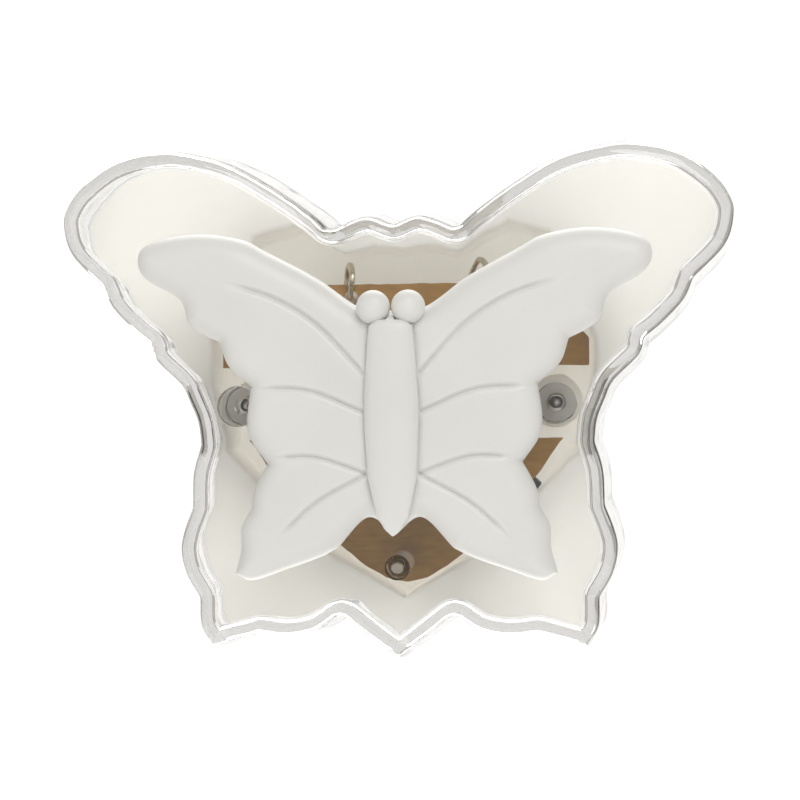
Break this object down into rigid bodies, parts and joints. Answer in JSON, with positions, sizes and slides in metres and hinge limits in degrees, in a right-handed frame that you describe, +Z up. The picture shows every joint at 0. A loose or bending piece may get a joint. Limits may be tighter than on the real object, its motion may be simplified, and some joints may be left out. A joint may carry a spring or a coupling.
{
  "type": "plug-in night light",
  "caption": "Plug-in night light shaped as a butterfly: clear cover with a white butterfly on its front, white back housing and a two-pin plug.",
  "frame": {"origin": "on the plug's flat seat face, midway between the two pins", "axes": "+Z up with the light plugged into a wall, +Y along the pins into the wall, -Y into the room, +X to the right of someone facing the light"},
  "size_m": [0.1012, 0.0583, 0.0779],
  "materials": {
    "clear_plastic": "clear, polished",
    "opal_plastic": "opal white, satin",
    "white_plastic": "white, smooth",
    "board_paper": "brown paper laminate",
    "tinned_brass": "bright, slightly dull",
    "dark_plastic": "black, satin",
    "screw_steel": "zinc plated",
    "led_resin": "milky resin",
    "resistor_coat": "beige lacquer",
    "black_case": "black",
    "red_case": "dark red dip"
  },
  "bodies": {
    "light": {"back_housing": "white_plastic", "bleed_resistor": "resistor_coat", "board_screw_left": "screw_steel", "board_screw_right": "screw_steel", "butterfly_diffuser": "opal_plastic", "circuit_board": "board_paper", "clear_shell": "clear_plastic", "diode_1": "black_case", "diode_2": "black_case", "diode_3": "black_case", "diode_4": "black_case", "film_capacitor": "red_case", "led_1": "led_resin", "led_2": "led_resin", "led_3": "led_resin", "led_4": "led_resin", "pin_sleeve_left": "dark_plastic", "pin_sleeve_right": "dark_plastic", "pin_wire_left": "tinned_brass", "pin_wire_right": "tinned_brass", "plug_block": "white_plastic", "plug_pin_left": "tinned_brass", "plug_pin_right": "tinned_brass", "series_resistor": "resistor_coat", "shell_screw_left": "screw_steel", "shell_screw_right": "screw_steel", "smoothing_capacitor": "black_case", "switch_body": "dark_plastic"},
    "slider": {"switch_slider": "dark_plastic"}
  },
  "joints": [
    {"name": "switch_slide", "type": "slide", "parent": "light", "child": "slider", "axis": [0.7052, 0, 0.709], "range_m": [0, 0.0025]}
  ]
}
